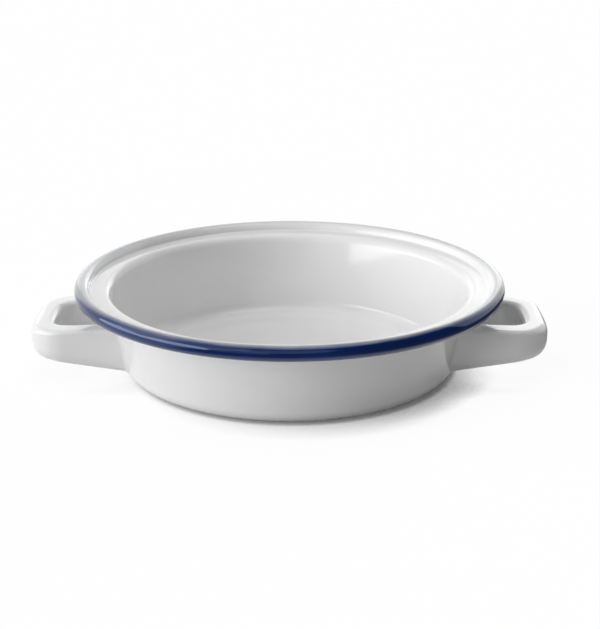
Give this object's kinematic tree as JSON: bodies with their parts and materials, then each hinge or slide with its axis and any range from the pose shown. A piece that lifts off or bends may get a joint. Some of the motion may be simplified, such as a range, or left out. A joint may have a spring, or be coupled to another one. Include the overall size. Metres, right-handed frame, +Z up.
{
  "type": "shirred egg dish",
  "caption": "Small round enamelled steel baking and serving dish with a rolled rim and a loop handle on each side.",
  "frame": {"origin": "centre of the bottom face, on the plane that the dish stands on", "axes": "+Z up; +X along the line through the two handles"},
  "size_m": [0.2064, 0.1712, 0.0372],
  "materials": {
    "white_enamel": "glossy white vitreous enamel on pressed steel",
    "blue_enamel": "glossy dark blue vitreous enamel"
  },
  "bodies": {
    "root": {"bowl": "white_enamel", "rim_band": "blue_enamel", "handle_left": "white_enamel", "handle_right": "white_enamel"}
  },
  "joints": []
}
